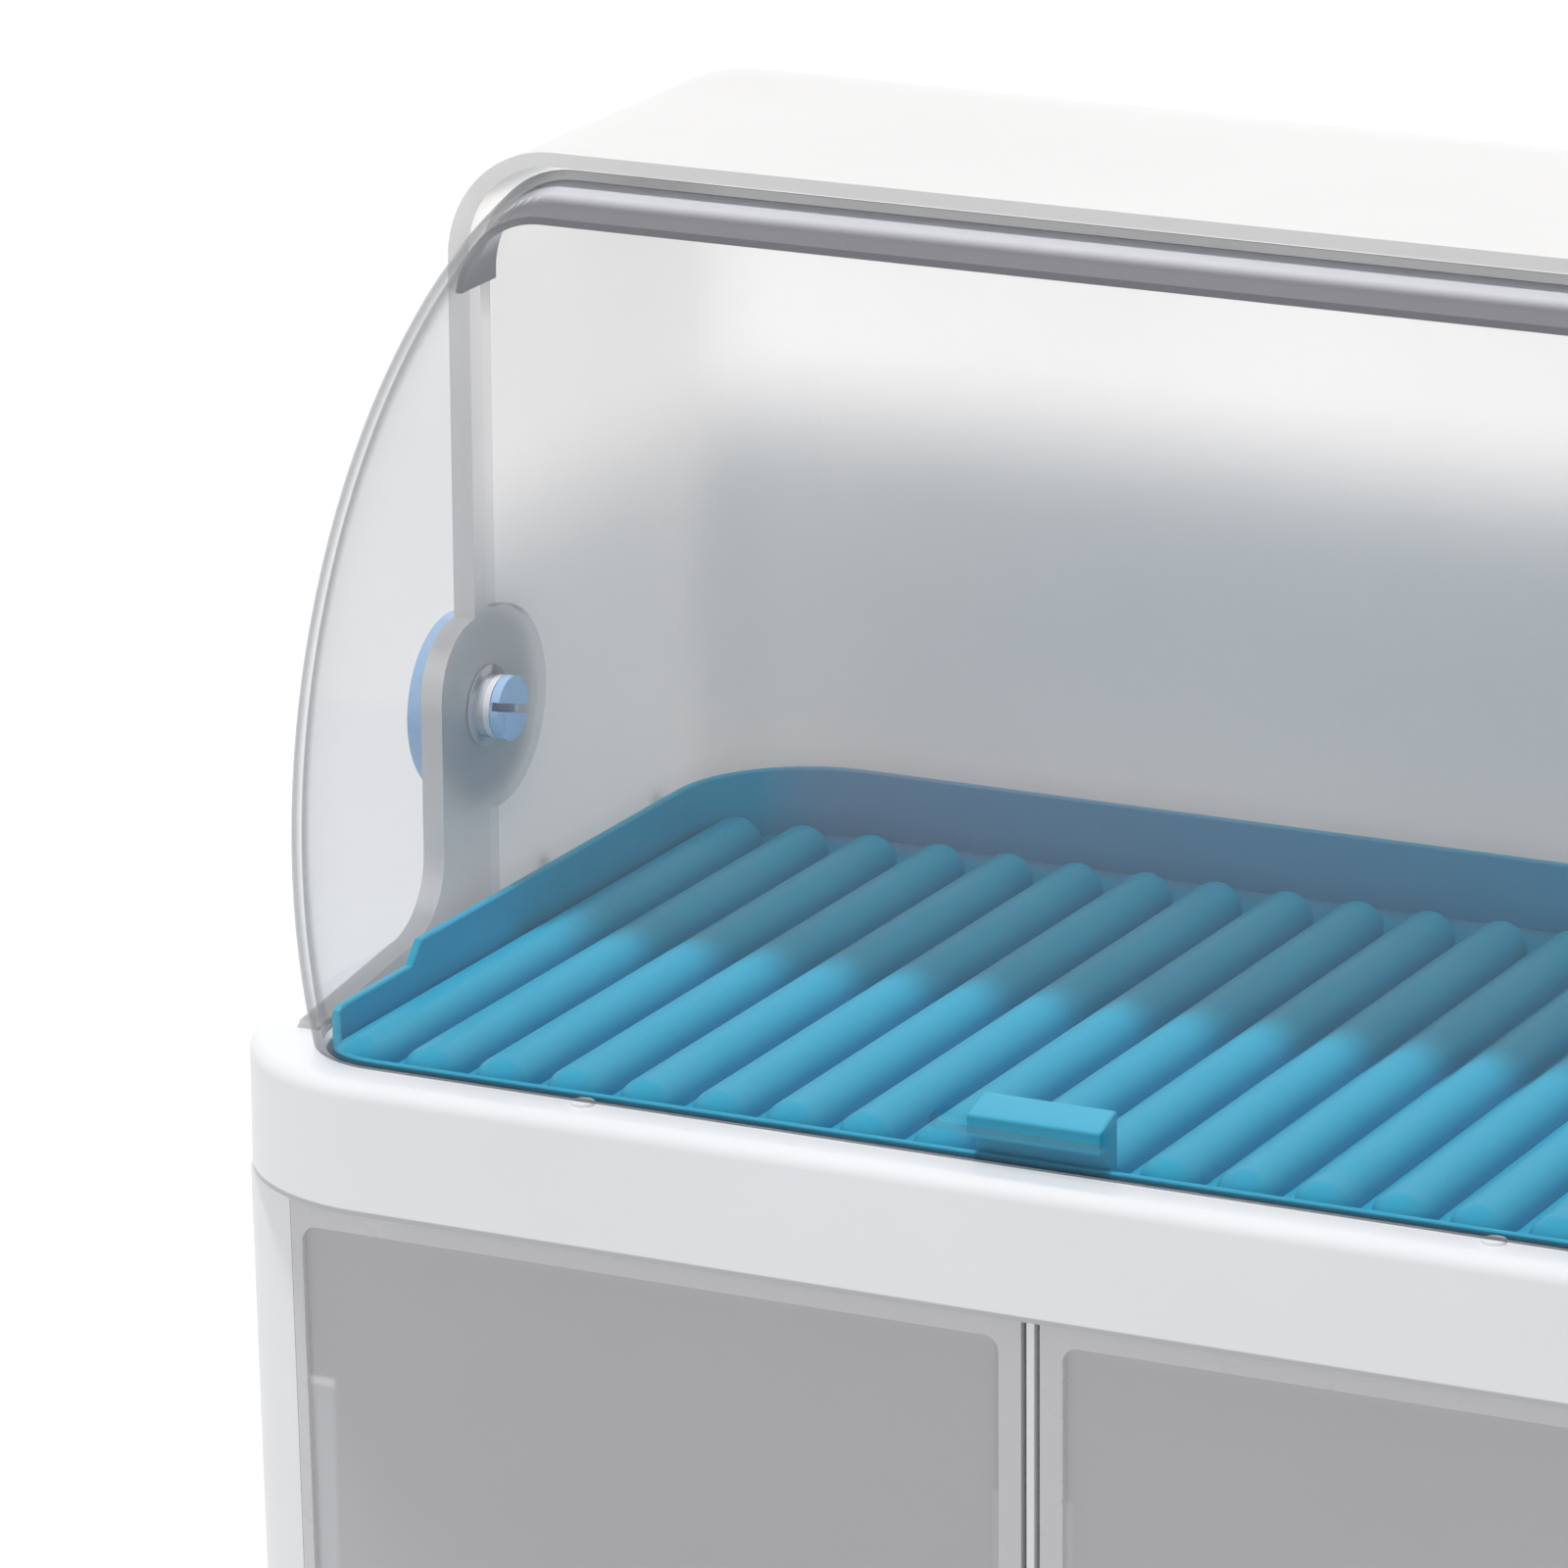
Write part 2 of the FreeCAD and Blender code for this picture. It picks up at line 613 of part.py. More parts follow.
def make_top_frame():
    made = body("top_frame")
    corner = size("FrameCorner")
    prism(made, "XY", cabinet_top, frame_top,
          rounded(-frame_half, frame_front, frame_half, frame_back, corner, corner))
    fillet(made, "FrameEdge", flat_at("Z", frame_top))

    bay_half = cabinet_half - "CabinetWall"
    prism(made, "XY", cabinet_top, deck_under,
          rounded(-bay_half, bay_front, bay_half, bay_back, bay_front_corner,
                  bay_rear_corner), cut=True)
    channel_front = frame_front + "FrameWall"
    channel_half = frame_half - "FrameCorner" - "ChannelEnd"
    prism(made, "XY", cabinet_top, deck_under,
          rectangle(-channel_half, channel_front, channel_half,
                    channel_front + "ChannelDepth"), cut=True)

    gap = size("PocketGap")
    prism(made, "XY", deck_top, frame_top,
          rounded(-tray_half - gap, tray_front - gap, tray_half + gap, tray_back + gap,
                  size("TrayFrontCorner") + gap, size("TrayCorner") + gap), cut=True)
    fillet(made, "PocketEdge", pocket_edge)

    hole_top = cabinet_top + "ScrewReach" + "ScrewTip"
    for x in on_both_sides(column_x):
        for y in column_places:
            prism(made, "XY", cabinet_top, deck_under,
                  lambda s: circle(s, x, y, "ColumnRadius"))
            prism(made, "XY", cabinet_top, hole_top,
                  lambda s: circle(s, x, y, screw_hole), cut=True)
    for x in on_both_sides(shell_screw_x):
        for y in shell_screw_places:
            prism(made, "XY", deck_under, frame_top,
                  lambda s: circle(s, x, y, screw_hole), cut=True)


def screw(label, x, y, head_low, grip):
    """A screw that points up: slotted head, then a shank through grip into the next piece."""
    radius = size("ScrewHead")
    slot = size("ScrewSlot")
    head = cylinder(label + "_head", radius, "ScrewHeadHeight", x, y, head_low)
    shank = cylinder(label + "_shank", "ScrewRadius", grip + "ScrewReach", x, y,
                     head_low + "ScrewHeadHeight")
    groove = box(label + "_slot", (x - radius, y - slot / 2, head_low),
                 (x + radius, y + slot / 2, head_low + slot))
    return cut(label, fuse(label, [head, shank]), groove)


def make_screws():
    head_low = cabinet_top - "ScrewGrip" - "ScrewHeadHeight"
    group("frame_screws", [screw("frame_screw", x, y, head_low, size("ScrewGrip"))
                           for x in on_both_sides(column_x) for y in column_places])
    head_low = deck_under - "ScrewHeadHeight"
    group("shell_screws", [screw("shell_screw", x, y, head_low, frame_top - deck_under)
                           for x in on_both_sides(shell_screw_x) for y in shell_screw_places])


def crown(half, top, back):
    """Picks the edges along roof, rear arc and back wall on both sides."""
    def chosen(edge):
        span = edge.BoundBox
        on_side = near(abs(span.XMin), half) and span.XLength < TOLERANCE
        along_top = near(span.ZMin, top)
        along_back = near(span.YMin, back)
        rear_arc = near(span.ZMax, top) and near(span.YMax, back)
        return on_side and (along_top or along_back or rear_arc)
    return chosen


def make_roof_shell():
    rear = size("ShellRear")
    boss_front = roof_front - "BossReach"
    boss_centre = frame_top + "BossRise"
    flare_top = frame_top + "FlareRise"
    flare_front = boss_front - "FlareRadius"
    ridge_front = frame_front + "RidgeSetback"
    side_view = [
        (shell_back, frame_top), (shell_back, shell_top - rear, rear),
        (shell_back - rear, shell_top), (roof_front, shell_top),
        (roof_front, boss_centre + "BossReach", "BossReach"), (boss_front, boss_centre),
        (boss_front, flare_top, -size("FlareRadius")),
        (flare_front, flare_top - "FlareRadius"),
        (ridge_front, frame_top + "RidgeHeight"), (ridge_front - "RidgeHeight", frame_top)]
    outside = body("roof_shell_outside", kept=False)
    prism(outside, "YZ", -shell_half, shell_half, lambda s: outline(s, side_view))
    fillet(outside, "ShellRound", crown(shell_half, shell_top, shell_back))

    ceiling = shell_top - "ShellRoof"
    inside_back = shell_back - "ShellRoof"
    inner_rear = rear - "ShellRoof"
    ahead = ridge_front - "RidgeHeight" - PAST
    below = frame_top - PAST
    inner_view = [(inside_back, below), (inside_back, ceiling - inner_rear, inner_rear),
                  (inside_back - inner_rear, ceiling), (ahead, ceiling), (ahead, below)]
    hollow = body("roof_shell_hollow", kept=False)
    prism(hollow, "YZ", -shell_inner, shell_inner, lambda s: outline(s, inner_view))
    fillet(hollow, size("ShellRound") - "ShellSide", crown(shell_inner, ceiling, inside_back))

    pin_hole = cylinder("pin_hole", size("PinRadius") + "FitGap", shell_half * 2,
                        -shell_half, pivot_y, pivot_z, axis="X")
    screw_holes = [cylinder("shell_screw_hole", screw_hole, size("ScrewReach") + "ScrewTip",
                            x, y, frame_top)
                   for x in on_both_sides(shell_screw_x) for y in shell_screw_places]
    tools = fuse("roof_shell_tools", [hollow, pin_hole] + screw_holes)
    keep("roof_shell", cut("roof_shell", outside, tools))


def curve_edges(half, radius):
    """Picks the arcs where a curved front meets the planes of the two cheeks."""
    def chosen(edge):
        span = edge.BoundBox
        on_cheek = near(abs(span.XMin), half) and span.XLength < TOLERANCE
        return on_cheek and hasattr(edge.Curve, "Radius") and near(edge.Curve.Radius, radius)
    return chosen


def curved_region(radius, rear, low):
    """Outline in side view: the curve in front, closed by a rear and a lower line."""
    return [(rear, low), (rear, curve_z(radius, rear), radius), (curve_y(radius, low), low)]


def make_clear_cover():
    made = body("clear_cover")
    outer = size("CoverRadius")
    prism(made, "YZ", -cover_half, cover_half,
          lambda s: outline(s, curved_region(outer, cover_rear, cover_low)))
    fillet(made, "CoverRound", curve_edges(cover_half, outer))
    behind = flat_at("Y", cover_rear)
    under = flat_at("Z", cover_low)
    hollow_out(made, "CoverWall", lambda face: behind(face) or under(face))

    for low, high in ((-cover_half, -cover_inner), (cover_inner, cover_half)):
        prism(made, "YZ", low, high, lambda s: circle(s, pivot_y, pivot_z, "EarRadius"))
    prism(made, "YZ", -cover_half, cover_half,
          lambda s: circle(s, pivot_y, pivot_z, size("BushSleeve") + "FitGap"), cut=True)

    ledge_top = frame_top + "LedgeRise"
    ledge_low = ledge_top - "LedgeHeight"
    ledge_front = curve_y(outer, ledge_top) - "LedgeReach"
    root_depth = size("CoverWall") / 2
    ledge = [(curve_y(outer, ledge_low) + root_depth, ledge_low),
             (curve_y(outer, ledge_top) + root_depth, ledge_top),
             (ledge_front, ledge_top), (ledge_front, ledge_low)]
    half = size("LedgeWidth") / 2
    prism(made, "YZ", -half, half, lambda s: outline(s, ledge))


def make_cover_edge_strip():
    """A strip inside the cover's top edge. It is made with long legs, then cut to length."""
    made = body("cover_edge_strip")
    outer = size("CoverRadius") - "CoverWall" - "FitGap"
    half = cover_inner - "FitGap"
    foot = frame_top + "StripFoot"
    blank_foot = foot - "CoverRound"
    front = cover_rear - "StripWidth"
    side_view = [(cover_rear, blank_foot), (cover_rear, curve_z(outer, cover_rear), outer),
                 (front, curve_z(outer, front)), (front, blank_foot)]
    prism(made, "YZ", -half, half, lambda s: outline(s, side_view))
    fillet(made, size("CoverRound") - "CoverWall" - "FitGap", curve_edges(half, outer))
    ends = [flat_at("Y", cover_rear), flat_at("Y", front), flat_at("Z", blank_foot)]
    hollow_out(made, "StripThickness", lambda face: any(end(face) for end in ends))
    prism(made, "XY", blank_foot, foot, rectangle(-half, front, half, cover_rear), cut=True)


def turned(label, side, start, end, radius):
    """A step of a turned piece on the pivot's axis, between two places from the middle."""
    low = start if side > 0 else -end
    return cylinder(label, radius, end - start, low, pivot_y, pivot_z, axis="X")


def make_pivots():
    pin_end = cover_inner - "BarbReach"
    barb = pin_end + "BarbLength"
    head = shell_half + "HeadThickness"
    slit_end = pin_end + "SlitDepth"
    slit_half = size("SlitWidth") / 2
    slit_front = pivot_y - "BarbRadius"
    slit_rear = pivot_y + "BarbRadius"
    slit_high = pivot_z + "SlitFall"
    slit_low = pivot_z - "SlitFall"
    slit_view = [(slit_front, slit_high - slit_half), (slit_rear, slit_low - slit_half),
                 (slit_rear, slit_low + slit_half), (slit_front, slit_high + slit_half)]
    sleeve = barb + "BushGap"
    collar_end = shell_inner - "BushGap"
    for side, name in SIDES:
        label = name + "_pivot_pin"
        solid = fuse(label, [turned(label + "_barb", side, pin_end, barb, "BarbRadius"),
                             turned(label + "_shank", side, barb, shell_half, "PinRadius"),
                             turned(label + "_head", side, shell_half, head, "HeadRadius")])
        slit = body(label + "_slit", kept=False)
        ends = across(side, pin_end, slit_end)
        prism(slit, "YZ", ends[0], ends[1], lambda s: outline(s, slit_view))
        keep(label, cut(label, solid, slit))

        label = name + "_pivot_bush"
        collar = turned(label + "_collar", side, cover_half, collar_end, "BushCollar")
        solid = fuse(label, [turned(label + "_sleeve", side, sleeve, cover_half, "BushSleeve"),
                             collar])
        bore = turned(label + "_bore", side, sleeve, collar_end, size("PinRadius") + "PinGap")
        keep(label, cut(label, solid, bore))


def make_draining_tray():
    corners = (size("TrayFrontCorner"), size("TrayCorner"))
    wall = size("TrayWall")
    top = tray_low + "TrayHeight"
    plan = rounded(-tray_half, tray_front, tray_half, tray_back, *corners)
    pan = body("draining_tray_pan", kept=False)
    prism(pan, "XY", tray_low, top, plan)
    prism(pan, "XY", tray_floor, top,
          rounded(-tray_half + wall, tray_front + wall, tray_half - wall, tray_back - wall,
                  corners[0] - wall, corners[1] - wall), cut=True)

    low_top = tray_low + "TrayLow"
    lip_top = tray_low + "TrayLip"
    lip_back = tray_front + "TrayLipDepth"
    step = tray_front + "TrayStep"
    step_rise = top - low_top + PAST
    ahead = tray_front - PAST
    notch = [(ahead, lip_top), (lip_back - "TrayDrop", lip_top), (lip_back, low_top),
             (step, low_top), (step + step_rise, top + PAST), (ahead, top + PAST)]
    prism(pan, "YZ", -tray_half, tray_half, lambda s: outline(s, notch), cut=True)

    def rim(edge):
        """Picks the edges that run along the top of the walls and the lip."""
        span = edge.BoundBox
        level = max(span.YLength, span.ZLength) < TOLERANCE
        across_wall = level and span.XLength < 2 * wall.value
        return span.ZMin > lip_top.value - TOLERANCE and not across_wall

    fillet(pan, "TrayEdge", rim)
    add_ribs(pan)

    outside = body("draining_tray_plan", kept=False)
    prism(outside, "XY", tray_low, top, plan)
    trimmed = common("draining_tray", outside, pan)

    tab_half = size("GripWidth") / 2
    tab_top = tray_low + "GripTop"
    tab_low = tab_top - "GripThickness"
    tab_front = tray_front - "GripReach"
    tab_back = tab_front + "GripDepth"
    post_front = tab_back - "GripPost"
    side_view = [(tab_front, tab_low), (post_front, tab_low), (post_front, tray_low),
                 (tab_back, tray_low), (tab_back, tab_top + "GripRise"), (tab_front, tab_top)]
    tab = body("draining_tray_tab", kept=False)
    prism(tab, "YZ", -tab_half, tab_half, lambda s: outline(s, side_view))
    fillet(tab, "GripEdge", lambda edge: edge.BoundBox.ZMin > tab_top.value - TOLERANCE)
    keep("draining_tray", fuse("draining_tray", [trimmed, tab]))


def add_ribs(tray):
    """Round topped ribs with a dome at both ends, patterned across the tray."""
    radius = size("RibRadius")
    axis_z = tray_floor + "RibHeight" - radius
    first = -size("RibPitch") * (size("RibCount") - 1) / 2
    rib_front = tray_front + "TrayWall" + radius
    rib_back = tray_back - "TrayWall" - "RibEnd" - radius
    section = [(first - radius, tray_low), (first + radius, tray_low),
               (first + radius, axis_z, radius), (first, axis_z + radius, radius),
               (first - radius, axis_z)]
    rib = prism(tray, "XZ", rib_front, rib_back, lambda s: outline(s, section))
    ends = [add_dome(tray, first, y, axis_z) for y in (rib_front, rib_back)]

    ribs = tray.newObject("PartDesign::LinearPattern", "ribs")
    ribs.Originals = [rib] + ends
    ribs.Direction = (origin_feature(tray, "X_Axis"), [""])
    bind(ribs, "Length", size("RibPitch") * (size("RibCount") - 1))
    bind(ribs, "Occurrences", "RibCount")
    tray.Tip = ribs
    doc.recompute()


def add_dome(tray, x, y, axis_z):
    """The round end of a rib, turned about an upright line."""
    radius = size("RibRadius")
    drawing = sketch(tray, "XZ", -y)
    outline(drawing, [(x, tray_low), (x + radius, tray_low), (x + radius, axis_z, radius),
                      (x, axis_z + radius)])
    drawing.addGeometry(Part.LineSegment(FreeCAD.Vector(x.value, axis_z.value, 0),
                                         FreeCAD.Vector(x.value, tray_low.value, 0)), True)
    centre_line = len(drawing.Geometry) - 1
    place(drawing, centre_line, 1, x, axis_z)
    place(drawing, centre_line, 2, x, tray_low)
    dome = tray.newObject("PartDesign::Revolution", "rib_dome")
    dome.Profile = drawing
    dome.ReferenceAxis = (drawing, ["Axis0"])
    doc.recompute()
    return dome


def make_cover_rest_pads():
    pad_x = tray_half - "PadInset"
    y = tray_front - "PocketGap" - "PocketEdge" - "PadRadius"
    group("cover_rest_pads", [cylinder("cover_rest_pad", "PadRadius", "PadHeight", x, y,
                                       frame_top) for x in on_both_sides(pad_x)])


def front_panel(side, outer, inner, low, top):
    """Corners of a drawer front, each edge moved in by its own distance."""
    z0 = front_low + low
    z1 = front_top - top
    outer_low = side * (lean(opening_half, z0) - "FrontGap" - outer)
    outer_high = side * (lean(opening_half, z1) - "FrontGap" - outer)
    inner_x = side * (front_inner + inner)
    if side > 0:
        return [(inner_x, z0), (outer_low, z0), (outer_high, z1), (inner_x, z1)]
    return [(outer_low, z0), (inner_x, z0), (inner_x, z1), (outer_high, z1)]


def make_drawer_front(side, name):
    borders = [size(b) for b in ("BorderOuter", "BorderInner", "BorderLow", "BorderTop")]
    seat = [b - "WindowOverlap" for b in borders]
    made = body(name + "_drawer_front_frame")
    prism(made, "XZ", cabinet_front, window_back,
          lambda s: outline(s, front_panel(side, 0.0, 0.0, 0.0, 0.0)))
    prism(made, "XZ", window_front, window_back,
          lambda s: outline(s, front_panel(side, *seat)), cut=True)
    prism(made, "XZ", cabinet_front, window_front,
          lambda s: outline(s, front_panel(side, *borders)), cut=True)
    fillet(made, "WindowCorner", lambda e: near(e.BoundBox.YLength, "FrontLip")
           and e.BoundBox.ZLength < TOLERANCE)

    made = body(name + "_drawer_window")
    prism(made, "XZ", window_front, window_back,
          lambda s: outline(s, front_panel(side, *[b + "SeatGap" for b in seat])))
    for x in pull_screw_places(side):
        prism(made, "XZ", window_front, window_back,
              lambda s: circle(s, x, pull_screw_z, screw_hole), cut=True)


def pull_screw_places(side):
    middle = side * drawer_middle
    return (middle - "PullScrewX", middle + "PullScrewX")


def across(side, near_middle, far):
    """Two places on one side of the middle, in rising order."""
    return (near_middle, far) if side > 0 else (-far, -near_middle)


def make_drawer_box(side, name):
    made = body(name + "_drawer_box")
    wall = size("BoxWall")
    top = box_low + "BoxBackHeight"
    side_top = box_low + "BoxHeight"
    x0, x1 = across(side, box_inner, box_outer)
    prism(made, "XY", box_low, top, rectangle(x0, window_back, x1, box_back))
    fillet(made, "BoxCorner", upright_at(box_back))
    inner_front = window_back + wall
    inner_back = box_back - wall
    prism(made, "XY", box_low + wall, top,
          rectangle(x0 + wall, inner_front, x1 - wall, inner_back), cut=True)
    fillet(made, size("BoxCorner") - wall, upright_at(inner_back))
    prism(made, "YZ", x0, x1, rectangle(window_back, side_top, inner_back, top), cut=True)
    door0, door1 = across(side, box_inner + "FlangeInner", box_outer - "FlangeWidth")
    prism(made, "XZ", window_back, inner_front,
          rectangle(door0, box_low + "FlangeLow", door1, side_top), cut=True)


def make_cutlery_insert(side, name):
    made = body(name + "_cutlery_insert")
    wall = size("InsertWall")
    margin = size("BoxWall") + "InsertGap"
    low = box_low + "BoxWall" + "InsertLift"
    top = low + "InsertHeight"
    x0, x1 = across(side, box_inner + margin, box_outer - margin)
    y0 = window_back + margin
    y1 = box_back - margin
    corner = size("InsertCorner")
    outside = corner + wall
    prism(made, "XY", low, top, rounded(x0, y0, x1, y1, outside, outside))
    lane_width = (x1 - x0 - wall) / "InsertLanes"
    for lane in range(VALUES["InsertLanes"]):
        left = x0 + wall + lane_width * lane
        prism(made, "XY", low + wall, top,
              rounded(left, y0 + wall, left + lane_width - wall, y1 - wall, corner, corner),
              cut=True)


def make_drawer_pull(side, name):
    made = body(name + "_drawer_pull")
    wall = size("PullWall")
    middle = side * drawer_middle
    x0 = middle - size("PullWidth") / 2
    x1 = middle + size("PullWidth") / 2
    corner = size("PullCorner")
    prism(made, "XZ", pull_front, window_front, arch(x0, pull_low, x1, pull_top, corner))
    fillet(made, "PullEdge", flat_at("Y", pull_front))
    prism(made, "XZ", pull_front + wall, window_front,
          arch(x0 + wall, pull_low - PAST, x1 - wall, pull_top - wall, corner - wall),
          cut=True)
    hole_end = window_front - "PullScrewReach" - "ScrewTip"
    for x in pull_screw_places(side):
        prism(made, "XZ", pull_front + wall, window_front,
              lambda s: circle(s, x, pull_screw_z, "PullBoss"))
        prism(made, "XZ", hole_end, window_front,
              lambda s: circle(s, x, pull_screw_z, screw_hole), cut=True)


def make_pull_screws(side, name):
    label = name + "_pull_screws"
    tip = window_front - "PullScrewReach"
    radius = size("ScrewHead")
    slot = size("ScrewSlot")
    head_back = window_back + "ScrewHeadHeight"
    screws = []
    for x in pull_screw_places(side):
        head = cylinder(label + "_head", radius, "ScrewHeadHeight", x, window_back,
                        pull_screw_z, axis="Y")
        shank = cylinder(label + "_shank", "ScrewRadius", window_back - tip, x, tip,
                         pull_screw_z, axis="Y")
        groove = box(label + "_slot", (x - radius, head_back - slot, pull_screw_z - slot / 2),
                     (x + radius, head_back, pull_screw_z + slot / 2))
        screws.append(cut(label, fuse(label, [head, shank]), groove))
    group(label, screws)


def make_rail(label, side, box_side, away):
    """An L shaped rail; away is +1 where its lip stands on the far side of the box."""
    near_face = box_side + away * size("SlideGap")
    far_face = near_face + away * size("RailLip")
    base_end = far_face - away * size("RailWidth")
    base_top = cabinet_floor + "RailHeight"
    lip_top = cabinet_floor + "RailLipHeight"
    section = [(side * x, z) for x, z in (
        (far_face, cabinet_floor), (base_end, cabinet_floor), (base_end, base_top),
        (near_face, base_top), (near_face, lip_top), (far_face, lip_top))]
    made = body(label)
    rail_front = cabinet_front + "RailSetback"
    prism(made, "XZ", rail_front, rail_front + "RailLength", lambda s: outline(s, section))


def make_drawers():
    for side, name in SIDES:
        make_drawer_front(side, name)
        make_drawer_box(side, name)
        make_cutlery_insert(side, name)
        make_drawer_pull(side, name)
        make_pull_screws(side, name)
        make_rail(name + "_outer_rail", side, box_outer, 1)
        make_rail(name + "_inner_rail", side, box_inner, -1)


def check_document():
    """Every object must have computed, and every piece must be sound solids."""
    for thing in doc.Objects:
        if "Invalid" in thing.State or "Error" in thing.State:
            raise RuntimeError("%s failed: %s" % (thing.Label, thing.State))
    for label, made in parts.items():
        if made.Label != label:
            raise RuntimeError("%s is labelled %s" % (label, made.Label))
        shape = made.Shape
        if shape.isNull() or not shape.isValid() or not shape.Solids:
            raise RuntimeError("%s has no valid solid" % label)


def write_parts():
    os.makedirs("parts", exist_ok=True)
    for label, made in sorted(parts.items()):
        made.Shape.exportStep("parts/%s.step" % label)
        span = made.Shape.BoundBox
        print("%-26s %d solids %9.0f mm3  X %7.1f %7.1f  Y %7.1f %7.1f  Z %6.1f %6.1f" % (
            label, len(made.Shape.Solids), made.Shape.Volume, span.XMin, span.XMax,
            span.YMin, span.YMax, span.ZMin, span.ZMax))


make_feet()
make_lower_cabinet()
make_centre_divider()
make_drawer_stop_pin()
make_top_frame()
make_screws()
make_roof_shell()
make_clear_cover()
make_cover_edge_strip()
make_pivots()
make_draining_tray()
make_cover_rest_pads()
make_drawers()
doc.recompute()
check_document()
write_parts()
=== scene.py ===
import json
import math

import bpy
from mathutils import Matrix, Vector

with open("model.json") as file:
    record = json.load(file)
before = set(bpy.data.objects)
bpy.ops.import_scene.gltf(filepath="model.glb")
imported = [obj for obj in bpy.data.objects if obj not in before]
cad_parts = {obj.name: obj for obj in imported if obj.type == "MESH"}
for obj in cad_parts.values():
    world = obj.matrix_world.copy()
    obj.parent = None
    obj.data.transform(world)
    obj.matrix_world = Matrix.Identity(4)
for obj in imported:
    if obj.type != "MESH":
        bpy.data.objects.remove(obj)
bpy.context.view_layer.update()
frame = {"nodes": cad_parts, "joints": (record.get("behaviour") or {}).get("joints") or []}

MM = 0.001
NODES = frame["nodes"]


# Materials. Every colour is linear. The textures and painted zones follow the part's own
# coordinates, so they move with each piece. A zone's limits, named ..._X, ..._Y or ..._Z, are
# in millimetres along that axis of the frame; every other length is in metres.

class Tree:
    """Writes the node tree of one material or world."""

    def __init__(self, owner, output="OutputMaterial"):
        owner.use_nodes = True
        self.owner = owner
        self.tree = owner.node_tree
        self.tree.nodes.clear()
        self.output = self.add(output)

    def add(self, kind, inputs=None, **settings):
        """A node; inputs are numbers, colours or sockets by the input's name or number."""
        node = self.tree.nodes.new("ShaderNode" + kind)
        for name, value in settings.items():
            setattr(node, name, value)
        for name, value in (inputs or {}).items():
            if isinstance(value, bpy.types.NodeSocket):
                self.tree.links.new(value, node.inputs[name])
            else:
                node.inputs[name].default_value = value
        return node

    def finish(self, surface):
        self.tree.links.new(surface, self.output.inputs["Surface"])
        return self.owner

    def place(self):
        return self.add("TexCoord").outputs["Object"]

    def axis(self, letter):
        parts = self.add("SeparateXYZ", {0: self.place()})
        return parts.outputs["XYZ".index(letter)]

    def noise(self, scale, detail=2.0, stretch=(1, 1, 1)):
        moved = self.add("Mapping", {"Vector": self.place(), "Scale": stretch})
        made = self.add("TexNoise", {"Vector": moved.outputs[0], "Scale": scale,
                                     "Detail": detail})
        return made.outputs["Fac"]

    def uneven(self, middle, change, scale, detail, stretch=(1, 1, 1)):
        """middle, made higher and lower by change from place to place."""
        return self.spread(self.noise(scale, detail, stretch), middle - change,
                           middle + change, *NOISE_MIDDLE)

    def spread(self, value, low, high, start=0.0, end=1.0, smooth=False):
        """value from start..end carried over to low..high, held at both ends."""
        made = self.add("MapRange", {"Value": value, "From Min": start, "From Max": end,
                                     "To Min": low, "To Max": high})
        made.interpolation_type = "SMOOTHSTEP" if smooth else "LINEAR"
        return made.outputs[0]

    def math(self, operation, first, second=0.0, third=0.0):
        made = self.add("Math", {0: first, 1: second, 2: third}, operation=operation)
        return made.outputs[0]

    def mix(self, amount, first, second):
        """The first colour where amount is 0, the second where it is 1."""
        made = self.add("Mix", data_type="RGBA", clamp_factor=True)
        for number, value in ((0, amount), (6, first), (7, second)):
            if isinstance(value, bpy.types.NodeSocket):
                self.tree.links.new(value, made.inputs[number])
            elif number == 0:
                made.inputs[number].default_value = value
            else:
                made.inputs[number].default_value = (*value, 1.0)
        return made.outputs[2]

    def blend(self, share, first, second):
        """The first number where share is 0, the second where it is 1."""
        return self.math("MULTIPLY_ADD", share, self.math("SUBTRACT", second, first), first)

    # Masks, which are numbers from 0 to 1. Their limits are in millimetres.

    def rise(self, value, start, end, smooth=True):
        return self.spread(value, 0.0, 1.0, start * MM, end * MM, smooth)

    def fall(self, value, start, end, smooth=True):
        return self.spread(value, 1.0, 0.0, start * MM, end * MM, smooth)

    def band(self, value, low, high, soft):
        """1 between low and high, 0 outside, and each edge is twice soft wide."""
        return self.both(self.rise(value, low - soft, low + soft),
                         self.fall(value, high - soft, high + soft))

    def both(self, first, second):
        return self.math("MULTIPLY", first, second)

    def either(self, first, second):
        return self.math("MAXIMUM", first, second)

    def outside(self, mask):
        return self.math("SUBTRACT", 1.0, mask)

    def bump(self, scale, depth, detail=2.0, normal=None):
        inputs = {"Height": self.noise(scale, detail), "Strength": 1.0, "Distance": depth}
        if normal:
            inputs["Normal"] = normal
        return self.add("Bump", inputs).outputs[0]


def darker(color, share):
    return tuple(c * share for c in color)


NOISE_MIDDLE = (0.3, 0.7)     # most of a noise texture's values lie between these
CLOUD_SCALE = 9.0             # noise scales are in waves per metre
SMUDGE_SCALE = 55.0
WAVE_SCALE = 30.0
WAVE_DEPTH = 0.02 * MM
PLASTIC_IOR = 1.49
COAT_ROUGHNESS = 0.08


